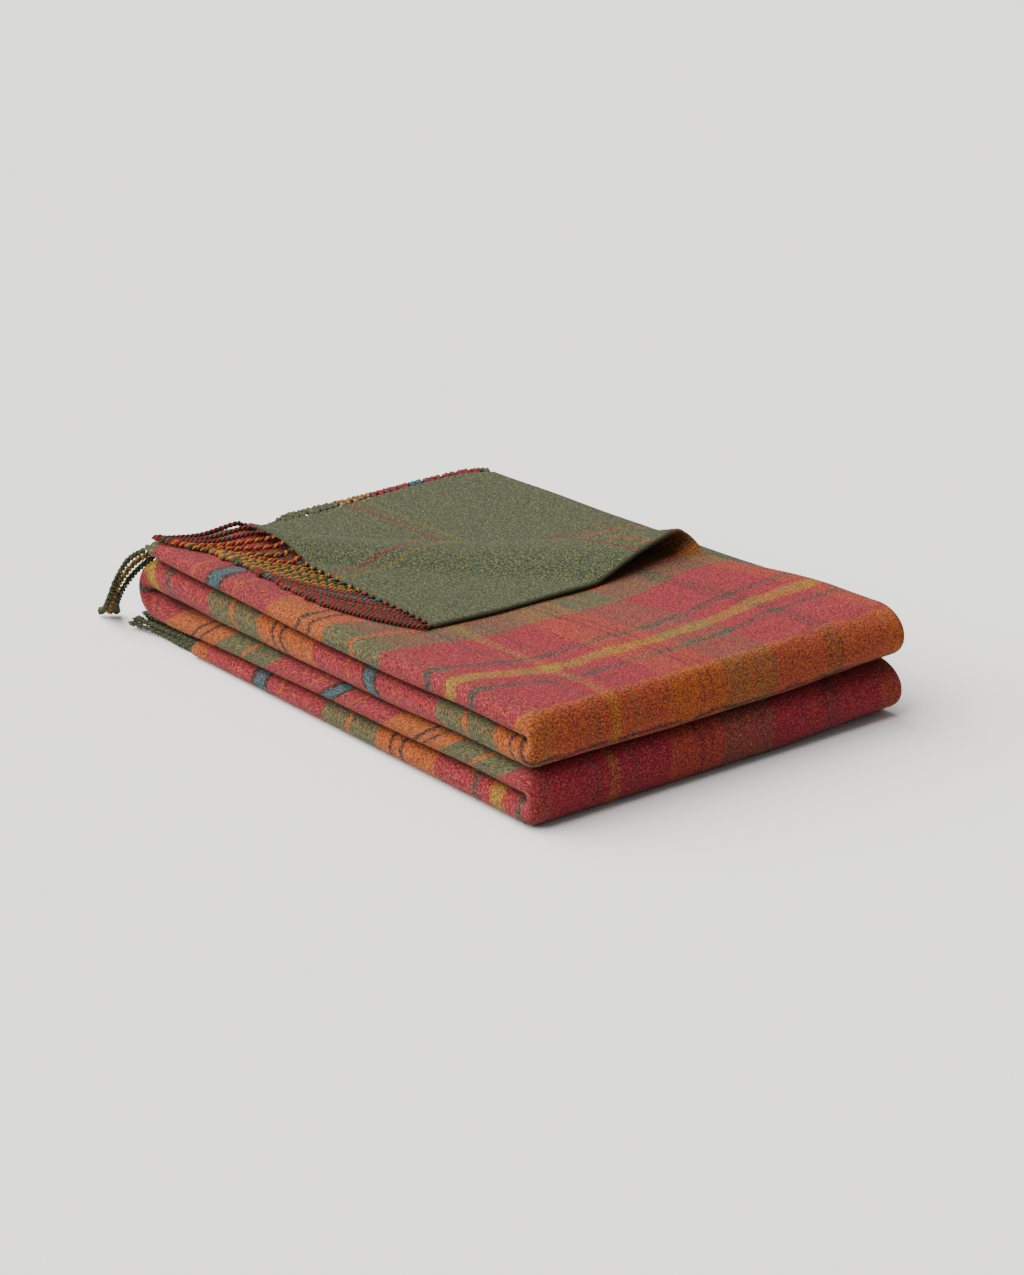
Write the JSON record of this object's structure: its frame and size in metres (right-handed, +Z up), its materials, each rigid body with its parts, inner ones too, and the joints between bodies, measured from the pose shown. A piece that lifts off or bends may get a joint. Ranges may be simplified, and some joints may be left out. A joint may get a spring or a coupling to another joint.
{
  "type": "folded throw blanket",
  "caption": "Reversible woven wool throw with twisted fringe, folded into a flat stack of four sections with one corner of the top layer turned back.",
  "frame": {"origin": "middle of the bounding box's footprint, on the surface that the throw lies on", "axes": "+X from the folded left side to the selvedge side, +Y from the front folds to the fringed back, +Z up"},
  "size_m": [0.3577, 0.5478, 0.1006],
  "materials": {
    "tartan_face": "brushed woven wool, matt",
    "green_reverse": "brushed woven wool, matt",
    "twisted_fringe": "twisted wool cord, matt"
  },
  "bodies": {
    "bottom_section": {"bottom_section_outer_fold": "tartan_face", "bottom_section_inner_fold": "green_reverse", "bottom_end_fringe_row_1": "twisted_fringe", "bottom_end_fringe_row_2": "twisted_fringe", "bottom_end_fringe_row_3": "twisted_fringe", "bottom_end_fringe_row_4": "twisted_fringe"},
    "lower_middle_section": {"lower_middle_outer_fold": "tartan_face", "lower_middle_inner_fold": "green_reverse"},
    "upper_middle_section": {"upper_middle_outer_fold": "tartan_face", "upper_middle_inner_fold": "green_reverse"},
    "top_section": {"top_section_outer_fold": "tartan_face", "top_section_inner_fold": "green_reverse", "top_end_fringe_row_1": "twisted_fringe", "top_end_fringe_row_2": "twisted_fringe", "top_end_fringe_row_3": "twisted_fringe", "corner_fringe_cord_1": "twisted_fringe", "corner_fringe_cord_2": "twisted_fringe", "corner_fringe_cord_3": "twisted_fringe"},
    "turned_corner": {"corner_flap": "green_reverse", "flap_fringe_cord_01": "twisted_fringe", "flap_fringe_cord_02": "twisted_fringe", "flap_fringe_cord_03": "twisted_fringe", "flap_fringe_cord_04": "twisted_fringe", "flap_fringe_cord_05": "twisted_fringe", "flap_fringe_cord_06": "twisted_fringe", "flap_fringe_cord_07": "twisted_fringe", "flap_fringe_cord_08": "twisted_fringe", "flap_fringe_cord_09": "twisted_fringe", "flap_fringe_cord_10": "twisted_fringe", "flap_fringe_cord_11": "twisted_fringe", "flap_fringe_cord_12": "twisted_fringe", "flap_fringe_cord_13": "twisted_fringe", "flap_fringe_cord_14": "twisted_fringe", "flap_fringe_cord_15": "twisted_fringe", "flap_fringe_cord_16": "twisted_fringe", "flap_fringe_cord_17": "twisted_fringe", "flap_fringe_cord_18": "twisted_fringe", "flap_fringe_cord_19": "twisted_fringe", "flap_fringe_cord_20": "twisted_fringe", "flap_fringe_cord_21": "twisted_fringe", "flap_fringe_cord_22": "twisted_fringe", "flap_fringe_cord_23": "twisted_fringe", "flap_fringe_cord_24": "twisted_fringe", "flap_fringe_cord_25": "twisted_fringe", "flap_fringe_cord_26": "twisted_fringe"}
  },
  "joints": [
    {"name": "lower_front_fold", "type": "hinge", "parent": "bottom_section", "child": "lower_middle_section", "pos_m": [0, -0.27455, 0.0207], "axis": [1, 0, 0], "range_deg": [0, 175]},
    {"name": "back_fold", "type": "hinge", "parent": "lower_middle_section", "child": "upper_middle_section", "pos_m": [0, 0.22505, 0.0357], "axis": [-1, 0, 0], "range_deg": [0, 180], "deforming": ["top_end_fringe_row_1", "top_end_fringe_row_2", "top_end_fringe_row_3", "corner_fringe_cord_1", "corner_fringe_cord_2", "corner_fringe_cord_3"]},
    {"name": "upper_front_fold", "type": "hinge", "parent": "upper_middle_section", "child": "top_section", "pos_m": [0, -0.27455, 0.0627], "axis": [1, 0, 0], "range_deg": [0, 175]},
    {"name": "corner_crease", "type": "hinge", "parent": "top_section", "child": "turned_corner", "pos_m": [0.03432, 0.04544, 0.08516], "axis": [-0.7293, 0.6839, -0.0164], "range_deg": [0, 180]}
  ]
}
